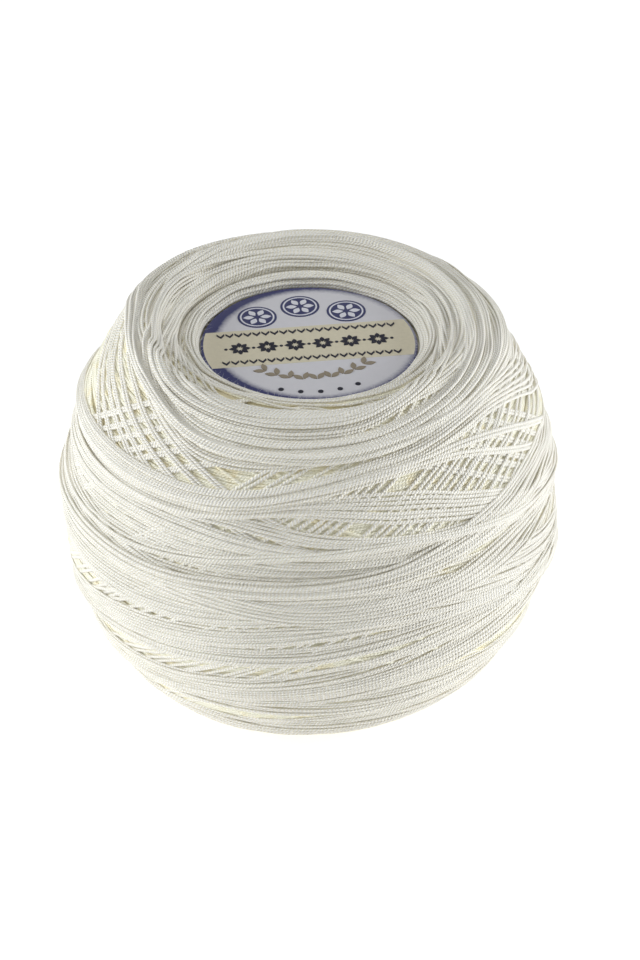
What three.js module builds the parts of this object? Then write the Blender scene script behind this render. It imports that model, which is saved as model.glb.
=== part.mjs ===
// Ball of crochet thread with a round label sunk in its top and one loose end at its side.
// Millimetres, +Z up. The ball rests on its flat foot at z = 0, centred on the Z axis.
// "Around" is the direction in degrees seen from above: 0 faces -Y (the front), 90 faces +X.
// "Down" is the distance along the ball's section, from its top rim towards the foot.
// A negative "down" lies inside the rim, on the slope that falls to the label.
import * as THREE from 'three';
import { mergeVertices } from 'three/addons/utils/BufferGeometryUtils.js';

const BALL_RADIUS = 35.5;
const BALL_HEIGHT = 59.6;
const EQUATOR_Z = 29.5;
const RIM_RADIUS = 23.4;
const FOOT_RADIUS = 14.4;
const SHOULDER_ROUND = 1.67;
const UNDERSIDE_ROUND = 1.83;
const FUNNEL_ROUND = 1.25;

const LABEL_RADIUS = 15.6;
const LABEL_THICK = 1;
const LABEL_TOP_Z = 55.6;
const SEAT_GAP = 0.3;
const SEAT_RADIUS = LABEL_RADIUS + SEAT_GAP;
const SEAT_Z = LABEL_TOP_Z - LABEL_THICK - SEAT_GAP;

const FLAT_INNER_RADIUS = 11.2;
const FLAT_OUTER_RADIUS = 16.6;
const DIMPLE_DEPTH = 3;
const DIMPLE_RINGS = 4;

const COLUMNS = 90;
const LABEL_SIDES = 72;
// The rings of points stand closer where the bundles are narrow, near the rim.
const ROW_SPANS = [
  { downTo: 6, step: 1.2 },
  { downTo: 22, step: 1.7 },
  { downTo: Infinity, step: 2.1 },
];
const SECTION_SAMPLES = 240;
const CROSSING_SHARE = 0.6;
const SEAT_FADE = 2.2;
const FOOT_FADE = 3.6;

const THREAD_THICK = 0.4;
const END_SIDES = 8;
const END_STEPS = 34;

// The main bundles of thread that stand proud of the ball, one row each.
// "wide" and "proud" are in millimetres. "down" has one value for each direction in COMPASS.
const COMPASS = [-150, -120, -90, -60, -30, 0, 30, 60, 90, 120, 150, 180];
const BUNDLES = [
  { name: 'inner collar', wide: 3.1, proud: 0.55,
    down: [-7.6, -7.5, -7.4, -7.4, -7.5, -7.6, -7.4, -7.2, -7.1, -7.3, -7.5, -7.6] },
  { name: 'second collar', wide: 3.1, proud: 0.65,
    down: [-4.1, -3.9, -3.7, -3.8, -4.0, -4.4, -4.6, -4.8, -4.7, -4.5, -4.3, -4.2] },
  { name: 'rim collar', wide: 3.4, proud: 0.65,
    down: [-1.3, -0.9, -0.5, 0.5, 2.2, 2.9, 1.4, -0.7, -1.6, -1.7, -1.5, -1.4] },
  { name: 'shoulder collar', wide: 3.2, proud: 0.55,
    down: [3.1, 2.9, 2.7, 3.4, 4.9, 5.8, 4.4, 3.2, 4.7, 5.6, 4.0, 3.1] },
  { name: 'left swathe', wide: 8.1, proud: 0.3,
    down: [5.4, 3.1, 2.7, 6.3, 11.7, 16.2, 18.9, 20.7, 21.2, 18.0, 12.6, 8.6] },
  { name: 'crescent', wide: 4.5, proud: 0.65,
    down: [18.4, 17.3, 15.8, 15.1, 14.0, 11.0, 8.6, 11.3, 17.6, 19.4, 19.4, 18.9] },
  { name: 'belt', wide: 4.5, proud: 0.55,
    down: [23.4, 22.5, 20.9, 19.4, 18.7, 19.4, 20.2, 20.3, 22.5, 24.1, 24.5, 24.1] },
  { name: 'rising band', wide: 4.5, proud: 0.55,
    down: [28.8, 28.3, 27.5, 27.4, 27.4, 26.5, 24.5, 22.1, 24.7, 26.6, 28.4, 29.2] },
  { name: 'great crescent', wide: 6.7, proud: 0.6,
    down: [34.2, 32.8, 31.5, 31.5, 31.0, 29.0, 29.7, 32.4, 33.7, 34.2, 34.7, 34.9] },
  { name: 'waist band', wide: 4.7, proud: 0.45,
    down: [39.6, 40.0, 39.2, 38.3, 36.5, 33.5, 32.4, 34.2, 38.3, 39.6, 39.6, 39.4] },
  { name: 'hip band', wide: 4.9, proud: 0.55,
    down: [45.0, 45.2, 44.5, 42.8, 40.7, 38.0, 36.5, 37.4, 41.0, 43.2, 44.1, 44.6] },
  { name: 'lower band', wide: 5.2, proud: 0.55,
    down: [49.5, 50.4, 50.4, 48.8, 46.3, 43.7, 41.8, 41.9, 44.6, 46.8, 48.2, 49.1] },
  { name: 'skirt band', wide: 5.0, proud: 0.5,
    down: [53.6, 54.7, 55.4, 54.9, 53.1, 50.8, 48.6, 47.3, 49.0, 50.8, 52.2, 52.7] },
  { name: 'foot band', wide: 4.9, proud: 0.4,
    down: [59.4, 59.8, 59.9, 59.6, 58.7, 57.4, 56.3, 55.6, 55.8, 56.7, 58.0, 58.9] },
];

// The loose end: it lies along the ball behind the left side, then its tip stands off and hangs.
// "lift" is the height of the thread's middle above the ball's surface.
const END_ROUTE = [
  { around: -147, down: 23.6, lift: 0.55 },
  { around: -144, down: 23.8, lift: 0.55 },
  { around: -141, down: 24.0, lift: 0.55 },
  { around: -138, down: 24.3, lift: 0.55 },
  { around: -135, down: 24.6, lift: 0.55 },
  { around: -132, down: 24.9, lift: 0.55 },
  { around: -129, down: 25.2, lift: 0.55 },
  { around: -126, down: 25.5, lift: 0.55 },
  { around: -123, down: 25.8, lift: 0.55 },
  { around: -120, down: 26.1, lift: 0.55 },
  { around: -117, down: 26.4, lift: 0.55 },
  { around: -114, down: 26.7, lift: 0.55 },
  { around: -111, down: 27.1, lift: 0.55 },
  { around: -108, down: 27.5, lift: 0.55 },
  { around: -105, down: 28.0, lift: 0.55 },
  { around: -102.4, down: 28.5, lift: 0.56 },
  { around: -100.2, down: 29.1, lift: 0.6 },
  { around: -98.4, down: 29.8, lift: 0.68 },
  { around: -97.0, down: 30.6, lift: 0.76 },
  { around: -95.8, down: 31.4, lift: 0.8 },
  { around: -94.8, down: 32.2, lift: 0.78 },
  { around: -94.0, down: 33.0, lift: 0.72 },
  { around: -93.4, down: 33.8, lift: 0.66 },
];

const ECRU = 0xf1ede0;
const LABEL_GROUND = 0xe4e1ee;

/** A quarter of the section, from one end angle to the other, as radius and height pairs. */
function sectionQuarter(fromRadius, toRadius, fromZ, toZ, round) {
  const pairs = [];
  for (let i = 0; i <= SECTION_SAMPLES; i += 1) {
    const angle = (Math.PI / 2) * (i / SECTION_SAMPLES);
    const across = Math.cos(angle) ** (2 / round);
    const along = Math.sin(angle) ** (2 / round);
    pairs.push([toRadius + (fromRadius - toRadius) * across, fromZ + (toZ - fromZ) * along]);
  }
  return pairs;
}

/** The ball's section from the label seat over the rim and the equator to the foot. */
function makeSection() {
  const funnel = sectionQuarter(SEAT_RADIUS, RIM_RADIUS, SEAT_Z, BALL_HEIGHT, FUNNEL_ROUND);
  const shoulder = sectionQuarter(BALL_RADIUS, RIM_RADIUS, EQUATOR_Z, BALL_HEIGHT, SHOULDER_ROUND);
  const underside = sectionQuarter(BALL_RADIUS, FOOT_RADIUS, EQUATOR_Z, 0, UNDERSIDE_ROUND);
  const outer = [...shoulder.reverse(), ...underside.slice(1)];
  const foot = outer.findIndex(([radius, z]) => z < EQUATOR_Z && radius < FLAT_OUTER_RADIUS);
  const pairs = [...funnel, ...outer.slice(1, foot)];
  const down = [0];
  for (let i = 1; i < pairs.length; i += 1) {
    down.push(down[i - 1] + Math.hypot(pairs[i][0] - pairs[i - 1][0], pairs[i][1] - pairs[i - 1][1]));
  }
  const rim = down[funnel.length - 1];
  return { pairs, down: down.map((value) => value - rim) };
}

const section = makeSection();
const SEAT_DOWN = section.down[0];
const FOOT_DOWN = section.down[section.down.length - 1];

/** Radius, height and outward normal of the plain section at a distance down from the rim. */
function sectionAt(down) {
  const { pairs, down: marks } = section;
  const held = THREE.MathUtils.clamp(down, SEAT_DOWN, FOOT_DOWN - 1e-6);
  let low = 0;
  let high = marks.length - 1;
  while (high - low > 1) {
    const middle = (low + high) >> 1;
    if (marks[middle] <= held) low = middle;
    else high = middle;
  }
  const share = (held - marks[low]) / (marks[high] - marks[low]);
  const radius = pairs[low][0] + (pairs[high][0] - pairs[low][0]) * share;
  const z = pairs[low][1] + (pairs[high][1] - pairs[low][1]) * share;
  const before = Math.max(low - 3, 0);
  const after = Math.min(high + 3, pairs.length - 1);
  const length = Math.hypot(pairs[after][0] - pairs[before][0], pairs[after][1] - pairs[before][1]);
  const outward = -(pairs[after][1] - pairs[before][1]) / length;
  const upward = (pairs[after][0] - pairs[before][0]) / length;
  return { radius, z, outward, upward };
}

/** The smooth closed curve through twelve values that stand 30 degrees apart. */
function aroundCurve(values, around) {
  const count = values.length;
  const turn = (((around - COMPASS[0]) / 360) * count + count * 4) % count;
  const first = Math.floor(turn);
  const part = turn - first;
  const [a, b, c, d] = [-1, 0, 1, 2].map((step) => values[(first + step + count) % count]);
  return b + 0.5 * part * (c - a + part * (2 * a - 5 * b + 4 * c - d + part * (3 * (b - c) + d - a)));
}

/** How far the bundles stand proud at a point; it fades out at the label seat and at the foot. */
function relief(around, down) {
  const heights = BUNDLES.map((bundle) => {
    const offset = (down - aroundCurve(bundle.down, around)) / (bundle.wide / 2);
    return Math.abs(offset) < 1 ? bundle.proud * (1 - offset ** 4) : 0;
  });
  heights.sort((a, b) => b - a);
  const proud = heights[0] + CROSSING_SHARE * heights[1];
  const nearSeat = THREE.MathUtils.smoothstep(down, SEAT_DOWN, SEAT_DOWN + SEAT_FADE);
  const nearFoot = THREE.MathUtils.smoothstep(FOOT_DOWN - down, 0, FOOT_FADE);
  return proud * nearSeat * nearFoot;
}

/** A point at a height above the wound surface, bundles included. */
function surfacePoint(around, down, lift) {
  const { radius, z, outward, upward } = sectionAt(down);
  const raised = relief(around, down) + lift;
  const reach = radius + outward * raised;
  const angle = THREE.MathUtils.degToRad(around);
  return new THREE.Vector3(reach * Math.sin(angle), -reach * Math.cos(angle), z + upward * raised);
}

/** A closed shell from rings of equal count, capped at each end by one point on the axis. */
function shellFromRings(topPole, rings, bottomPole) {
  const points = [topPole, ...rings.flat(), bottomPole];
  const faces = [];
  const last = points.length - 1;
  const at = (row, column) => 1 + row * COLUMNS + (column % COLUMNS);
  for (let column = 0; column < COLUMNS; column += 1) {
    faces.push(0, at(0, column), at(0, column + 1));
    for (let row = 0; row < rings.length - 1; row += 1) {
      faces.push(at(row, column), at(row + 1, column), at(row + 1, column + 1));
      faces.push(at(row, column), at(row + 1, column + 1), at(row, column + 1));
    }
    faces.push(at(rings.length - 1, column), last, at(rings.length - 1, column + 1));
  }
  const geometry = new THREE.BufferGeometry();
  geometry.setAttribute('position', new THREE.Float32BufferAttribute(points.flatMap((p) => p.toArray()), 3));
  geometry.setIndex(faces);
  geometry.computeVertexNormals();
  return geometry;
}

/** One level ring of points at a radius and a height. */
function levelRing(radius, z) {
  return Array.from({ length: COLUMNS }, (_, column) => {
    const angle = (2 * Math.PI * column) / COLUMNS;
    return new THREE.Vector3(radius * Math.sin(angle), -radius * Math.cos(angle), z);
  });
}

/** The distances down from the rim at which the wound surface has a ring of points. */
function rowMarks() {
  const marks = [];
  let start = SEAT_DOWN;
  for (const span of ROW_SPANS) {
    const end = Math.min(span.downTo, FOOT_DOWN);
    const rows = Math.round((end - start) / span.step);
    for (let row = 0; row < rows; row += 1) marks.push(start + ((end - start) * row) / rows);
    start = end;
  }
  return marks;
}

/** The wound ball: label seat, rim, bundles, flat foot and the shallow dimple under it. */
function makeThreadBall() {
  const rings = [levelRing(SEAT_RADIUS / 2, SEAT_Z)];
  for (const down of rowMarks()) {
    rings.push(Array.from({ length: COLUMNS }, (_, column) => surfacePoint((360 * column) / COLUMNS, down, 0)));
  }
  rings.push(levelRing(FLAT_OUTER_RADIUS, 0), levelRing(FLAT_INNER_RADIUS, 0));
  for (let ring = 1; ring < DIMPLE_RINGS; ring += 1) {
    const inward = ring / DIMPLE_RINGS;
    const rise = THREE.MathUtils.smoothstep(inward, 0, 1);
    rings.push(levelRing(FLAT_INNER_RADIUS * (1 - inward), DIMPLE_DEPTH * rise));
  }
  const top = new THREE.Vector3(0, 0, SEAT_Z);
  const bottom = new THREE.Vector3(0, 0, DIMPLE_DEPTH);
  const material = new THREE.MeshStandardMaterial({ color: ECRU, roughness: 0.75, metalness: 0 });
  const ball = new THREE.Mesh(shellFromRings(top, rings, bottom), material);
  ball.name = 'thread_ball';
  return ball;
}

/** The round paper label, a thin disc that lies on the wound seat. */
function makeLabel() {
  const edge = 0.15;
  const outline = [
    [0, 0],
    [LABEL_RADIUS - edge, 0],
    [LABEL_RADIUS, edge],
    [LABEL_RADIUS, LABEL_THICK - edge],
    [LABEL_RADIUS - edge, LABEL_THICK],
    [0, LABEL_THICK],
  ].map(([radius, height]) => new THREE.Vector2(radius, height));
  const disc = new THREE.LatheGeometry(outline, LABEL_SIDES);
  disc.rotateX(Math.PI / 2);
  const material = new THREE.MeshStandardMaterial({ color: LABEL_GROUND, roughness: 0.6, metalness: 0 });
  const label = new THREE.Mesh(disc, material);
  label.name = 'label';
  label.position.z = LABEL_TOP_Z - LABEL_THICK;
  return label;
}

/** The loose end of the thread, a thin round tube along its route. */
function makeThreadEnd() {
  const points = END_ROUTE.map(({ around, down, lift }) => surfacePoint(around, down, lift));
  const route = new THREE.CatmullRomCurve3(points);
  const round = new THREE.Shape();
  for (let side = 0; side < END_SIDES; side += 1) {
    const angle = (2 * Math.PI * side) / END_SIDES;
    const place = [(THREAD_THICK / 2) * Math.cos(angle), (THREAD_THICK / 2) * Math.sin(angle)];
    if (side === 0) round.moveTo(...place);
    else round.lineTo(...place);
  }
  const tube = new THREE.ExtrudeGeometry(round, { steps: END_STEPS, extrudePath: route });
  tube.deleteAttribute('normal');
  tube.deleteAttribute('uv');
  const geometry = mergeVertices(tube, 1e-4);
  geometry.computeVertexNormals();
  const material = new THREE.MeshStandardMaterial({ color: ECRU, roughness: 0.75, metalness: 0 });
  const end = new THREE.Mesh(geometry, material);
  end.name = 'thread_end';
  return end;
}

const group = new THREE.Group();
group.name = 'ball_of_crochet_thread';
group.add(makeThreadBall(), makeLabel(), makeThreadEnd());

export default group;
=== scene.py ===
"""The looks of a ball of crochet thread with a round printed label sunk in its top.

The thread is laid on the ball turn by turn, band by band, as it was wound: every band is a ribbon of
strands between two edges, and a later band rides over the earlier ones. Work is in millimetres until a
mesh is made. "Around" is the direction in degrees seen from above: 0 faces -Y (the front), 90 faces +X.
"Down" is the distance along the ball's section from the rim towards the foot, below zero in the funnel.
"""

from __future__ import annotations

import logging
import math
from dataclasses import dataclass, field
from enum import Enum

import bpy
import numpy as np
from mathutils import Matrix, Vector

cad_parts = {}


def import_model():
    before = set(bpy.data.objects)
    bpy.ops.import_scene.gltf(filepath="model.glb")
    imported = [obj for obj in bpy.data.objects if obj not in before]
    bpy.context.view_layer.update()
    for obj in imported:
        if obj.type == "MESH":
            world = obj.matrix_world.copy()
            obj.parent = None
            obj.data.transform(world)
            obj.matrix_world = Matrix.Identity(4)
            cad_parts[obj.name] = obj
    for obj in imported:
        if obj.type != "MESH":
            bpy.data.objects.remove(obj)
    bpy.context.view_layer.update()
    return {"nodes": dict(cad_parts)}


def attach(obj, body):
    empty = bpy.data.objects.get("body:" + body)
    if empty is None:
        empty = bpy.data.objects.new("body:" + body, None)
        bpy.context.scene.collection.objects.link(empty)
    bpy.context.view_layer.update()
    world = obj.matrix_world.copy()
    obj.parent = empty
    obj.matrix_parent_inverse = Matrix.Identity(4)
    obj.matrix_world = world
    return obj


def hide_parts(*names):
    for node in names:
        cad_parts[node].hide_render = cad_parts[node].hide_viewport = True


LOG = logging.getLogger("crochet_thread")
METRES = 0.001
BODY = "root"
BALL_NODE = "thread_ball"
LABEL_NODE = "label"
END_NODE = "thread_end"
BAKE_MAP = "OFBake"
TWIST_MAP = "twist"
TONE = "tone"
# How deep a strand lies below the surface; the cotton's painted shade and painted glow follow it.
DEPTH = "depth"
FULL_TURN = 2.0 * math.pi
UPWARD = (0.0, 0.0, 1.0)
# A strand's five corners, in degrees from the outward direction. Its widest side is its hidden back.
FLAT_BACKED = (0.0, 62.0, 128.0, 232.0, 298.0)
# Where most values of a noise lie.
NOISE_RANGE = (0.3, 0.7)
# The sockets of a Mix node that hold its share and its two colours, and its mixed colour.
MIX_INPUTS = (0, 6, 7)
MIX_OUTPUT = 2

Array = np.ndarray
Colour = tuple[float, float, float, float]
Socket = bpy.types.NodeSocket


def smoothstep(value: Array, low: float, high: float) -> Array:
    """Zero below low, one above high, and 3t^2 - 2t^3 between them."""
    share = np.clip((value - low) / (high - low), 0.0, 1.0)
    return share * share * (3.0 - 2.0 * share)


def bell_smoothed(values: Array, width: float, axis: int) -> Array:
    """Smooths an array along a closed axis with a bell curve.

    Args:
        values: A map of rows and columns.
        width: The bell's width, in cells.
        axis: The axis to smooth along, the first or the second.

    Returns:
        The smoothed map.
    """
    count = values.shape[axis]
    waves = np.fft.rfftfreq(count) * FULL_TURN
    bell = np.exp(-0.5 * (waves * width) ** 2)
    spectrum = np.fft.rfft(values, axis=axis) * (bell[:, None] if axis == 0 else bell)
    return np.fft.irfft(spectrum, count, axis=axis)


def closed_curve(marks: dict[float, float], around: Array) -> Array:
    """The smooth closed curve through marks: cubic pieces whose slopes come from the neighbouring marks.

    Args:
        marks: The curve's value at chosen directions, in degrees.
        around: The directions at which the curve is wanted.

    Returns:
        The curve's value at each direction.
    """
    row = np.array(sorted(marks.items()), float)
    x = np.concatenate([row[:, 0] - 360.0, row[:, 0], row[:, 0] + 360.0])
    y = np.tile(row[:, 1], 3)
    slope = np.gradient(y, x)
    wanted = (np.asarray(around, float) + 180.0) % 360.0 - 180.0
    low = np.clip(np.searchsorted(x, wanted, side="right") - 1, 0, len(x) - 2)
    gap = x[low + 1] - x[low]
    t = (wanted - x[low]) / gap
    return (
        (2 * t**3 - 3 * t**2 + 1) * y[low]
        + (t**3 - 2 * t**2 + t) * gap * slope[low]
        + (3 * t**2 - 2 * t**3) * y[low + 1]
        + (t**3 - t**2) * gap * slope[low + 1]
    )


@dataclass(frozen=True)
class Bundle:
    """A main bundle of the ball's solid: its width, its height and its place at the twelve compass points."""

    wide: float
    proud: float
    down: tuple[float, ...]


COMPASS = (-150, -120, -90, -60, -30, 0, 30, 60, 90, 120, 150, 180)
BUNDLES = (
    Bundle(3.1, 0.55, (-7.6, -7.5, -7.4, -7.4, -7.5, -7.6, -7.4, -7.2, -7.1, -7.3, -7.5, -7.6)),
    Bundle(3.1, 0.65, (-4.1, -3.9, -3.7, -3.8, -4.0, -4.4, -4.6, -4.8, -4.7, -4.5, -4.3, -4.2)),
    Bundle(3.4, 0.65, (-1.3, -0.9, -0.5, 0.5, 2.2, 2.9, 1.4, -0.7, -1.6, -1.7, -1.5, -1.4)),
    Bundle(3.2, 0.55, (3.1, 2.9, 2.7, 3.4, 4.9, 5.8, 4.4, 3.2, 4.7, 5.6, 4.0, 3.1)),
    Bundle(8.1, 0.3, (5.4, 3.1, 2.7, 6.3, 11.7, 16.2, 18.9, 20.7, 21.2, 18.0, 12.6, 8.6)),
    Bundle(4.5, 0.65, (18.4, 17.3, 15.8, 15.1, 14.0, 11.0, 8.6, 11.3, 17.6, 19.4, 19.4, 18.9)),
    Bundle(4.5, 0.55, (23.4, 22.5, 20.9, 19.4, 18.7, 19.4, 20.2, 20.3, 22.5, 24.1, 24.5, 24.1)),
    Bundle(4.5, 0.55, (28.8, 28.3, 27.5, 27.4, 27.4, 26.5, 24.5, 22.1, 24.7, 26.6, 28.4, 29.2)),
    Bundle(6.7, 0.6, (34.2, 32.8, 31.5, 31.5, 31.0, 29.0, 29.7, 32.4, 33.7, 34.2, 34.7, 34.9)),
    Bundle(4.7, 0.45, (39.6, 40.0, 39.2, 38.3, 36.5, 33.5, 32.4, 34.2, 38.3, 39.6, 39.6, 39.4)),
    Bundle(4.9, 0.55, (45.0, 45.2, 44.5, 42.8, 40.7, 38.0, 36.5, 37.4, 41.0, 43.2, 44.1, 44.6)),
    Bundle(5.2, 0.55, (49.5, 50.4, 50.4, 48.8, 46.3, 43.7, 41.8, 41.9, 44.6, 46.8, 48.2, 49.1)),
    Bundle(5.0, 0.5, (53.6, 54.7, 55.4, 54.9, 53.1, 50.8, 48.6, 47.3, 49.0, 50.8, 52.2, 52.7)),
    Bundle(4.9, 0.4, (59.4, 59.8, 59.9, 59.6, 58.7, 57.4, 56.3, 55.6, 55.8, 56.7, 58.0, 58.9)),
)


@dataclass
class BallForm:
    """The ball's outer form: its section turned about the Z axis, with the solid's main bundles on it."""

    ball_radius: float = 35.5
    ball_height: float = 59.6
    equator_z: float = 29.5
    rim_radius: float = 23.4
    foot_radius: float = 14.4
    seat_radius: float = 15.9
    seat_z: float = 54.3
    shoulder_round: float = 1.67
    underside_round: float = 1.83
    funnel_round: float = 1.25
    flat_outer_radius: float = 16.6
    flat_inner_radius: float = 11.2
    dimple_depth: float = 3.0
    crossing_share: float = 0.6
    bundle_flatness: int = 4
    seat_fade: float = 2.2
    foot_fade: float = 3.6
    groove: float = 0.8
    groove_under: float = 0.62
    groove_from: float = 1.0
    groove_full: float = 3.4
    groove_fade: float = 1.5
    samples: int = 240
    flat_samples: int = 24
    dimple_samples: int = 60
    radius: Array = field(init=False)
    height: Array = field(init=False)
    down: Array = field(init=False)
    outward: Array = field(init=False)
    upward: Array = field(init=False)
    foot_down: float = field(init=False)

    def __post_init__(self) -> None:
        """Works out the section, its length marks and its outward normals."""
        rim = (self.rim_radius, self.ball_height)
        equator = (self.ball_radius, self.equator_z)
        funnel = self._quarter((self.seat_radius, self.seat_z), rim, self.funnel_round)
        shoulder = self._quarter(equator, rim, self.shoulder_round)
        underside = self._quarter(equator, (self.foot_radius, 0.0), self.underside_round)
        underside = underside[underside[:, 0] >= self.flat_outer_radius]
        outer = np.concatenate([funnel, shoulder[::-1][1:], underside[1:]])
        flat = np.linspace(self.flat_outer_radius, self.flat_inner_radius, self.flat_samples)
        inward = np.linspace(0.0, 1.0, self.dimple_samples)[1:]
        dimple_radius = self.flat_inner_radius * (1.0 - inward)
        dimple_height = self.dimple_depth * smoothstep(inward, 0.0, 1.0)
        pairs = np.concatenate([
            outer,
            np.stack([flat, np.zeros_like(flat)], axis=1),
            np.stack([dimple_radius, dimple_height], axis=1),
        ])
        step = np.hypot(*np.diff(pairs, axis=0).T)
        down = np.concatenate([[0.0], np.cumsum(step)])
        self.radius, self.height = pairs[:, 0], pairs[:, 1]
        self.down = down - down[len(funnel) - 1]
        self.foot_down = float(self.down[len(outer) - 1])
        slope_r = np.gradient(self.radius, self.down)
        slope_z = np.gradient(self.height, self.down)
        length = np.hypot(slope_r, slope_z)
        self.outward = -slope_z / length
        self.upward = slope_r / length

    def _quarter(self, start: tuple[float, float], end: tuple[float, float], rounding: float) -> Array:
        """A quarter curve: radius follows cos(t)^(2/rounding) and height sin(t)^(2/rounding)."""
        t = np.linspace(0.0, math.pi / 2, self.samples + 1)
        across = np.clip(np.cos(t), 0.0, 1.0) ** (2.0 / rounding)
        along = np.sin(t) ** (2.0 / rounding)
        radius = end[0] + (start[0] - end[0]) * across
        return np.stack([radius, start[1] + (end[1] - start[1]) * along], axis=1)

    def relief(self, around: Array, down: Array) -> Array:
        """How far the solid's bundles stand proud: the highest plus a share of the second highest."""
        heights = []
        for bundle in BUNDLES:
            middle = closed_curve(dict(zip(COMPASS, bundle.down)), around)
            offset = np.clip(np.abs(down - middle) / (bundle.wide / 2.0), 0.0, 1.0)
            heights.append(bundle.proud * (1.0 - offset**self.bundle_flatness))
        ordered = np.sort(np.stack(heights), axis=0)
        proud = ordered[-1] + self.crossing_share * ordered[-2]
        near_seat = smoothstep(down, self.down[0], self.down[0] + self.seat_fade)
        near_foot = smoothstep(self.foot_down - down, 0.0, self.foot_fade)
        return proud * near_seat * near_foot

    def rolls(self, around: Array, down: Array) -> Array:
        """The relief that the strands follow: the solid's, with deeper grooves between the funnel's rolls."""
        relief = self.relief(around, down)
        seat = self.down[0]
        inside = smoothstep(-down, -self.groove_fade, self.groove_fade)
        inside = inside * smoothstep(down, seat + self.groove_from, seat + self.groove_full)
        return relief - self.groove * inside * (1.0 - np.minimum(relief / self.groove_under, 1.0))

    def normal(self, around: Array, down: Array) -> Array:
        """The outward direction of the plain section at each place."""
        angle = np.radians(around)
        out = np.interp(down, self.down, self.outward)
        up = np.interp(down, self.down, self.upward)
        length = np.hypot(out, up)
        out, up = out / length, up / length
        return np.stack([out * np.sin(angle), -out * np.cos(angle), up], axis=-1)

    def place(self, around: Array, down: Array, lift: Array) -> Array:
        """The point at a height above the plain section: section point plus its normal times the lift."""
        angle = np.radians(around)
        radius = np.interp(down, self.down, self.radius)
        height = np.interp(down, self.down, self.height)
        base = np.stack([radius * np.sin(angle), -radius * np.cos(angle), height], axis=-1)
        return base + self.normal(around, down) * np.asarray(lift)[..., None]

    def on_solid(self, around: Array, down: Array, lift: Array) -> Array:
        """The point at a height above the solid's own surface, bundles included."""
        return self.place(around, down, self.relief(around, down) + lift)


@dataclass(frozen=True)
class Tilt:
    """A plain tilted ring: middle minus swing times the cosine of the angle from its high side."""

    middle: float
    swing: float = 0.0
    high_side: float = 0.0

    def at(self, around: Array) -> Array:
        """The ring's mark in each direction."""
        return self.middle - self.swing * np.cos(np.radians(around - self.high_side))


@dataclass(frozen=True)
class Marks:
    """A ring through chosen marks: those at the compass points, if any there, and some between them."""

    compass: tuple[float | None, ...]
    between: dict[float, float] = field(default_factory=dict)

    def at(self, around: Array) -> Array:
        """The ring's mark in each direction."""
        marks = {point: mark for point, mark in zip(COMPASS, self.compass) if mark is not None}
        return closed_curve(marks | self.between, around)


class Layer(Enum):
    """The pieces into which the windings are gathered, from the deepest to the outermost."""

    FOUNDATION = "winding_foundation"
    LATTICE = "winding_lattice"
    COLLARS = "winding_collars"
    CRESCENTS = "winding_crescents"
    BELTS = "winding_belts"
    SKIRT = "winding_skirt"
    FOOT = "winding_foot"


@dataclass(frozen=True)
class Band:
    """A ribbon of strands between a top and a bottom edge.

    Strands are spread evenly in groups that touch, then shifted a little; loose is the largest shift, as a
    share of the spacing. Plump widens the strands and proud lifts them; shade is the least depth they are
    given for the painted shade and painted glow of deep strands.
    """

    name: str
    layer: Layer
    strands: int
    top: Tilt | Marks
    bottom: Tilt | Marks
    loose: float = 0.08
    group: int = 1
    plump: float = 1.0
    proud: float = 0.0
    shade: float = 0.0
    steps: int = 240
    sides: int = 5


# Bands are placed by marks down the section, each MARK millimetres from the next; the rim is at RIM_MARK.
MARK = 0.9
RIM_MARK = 10.25

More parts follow.
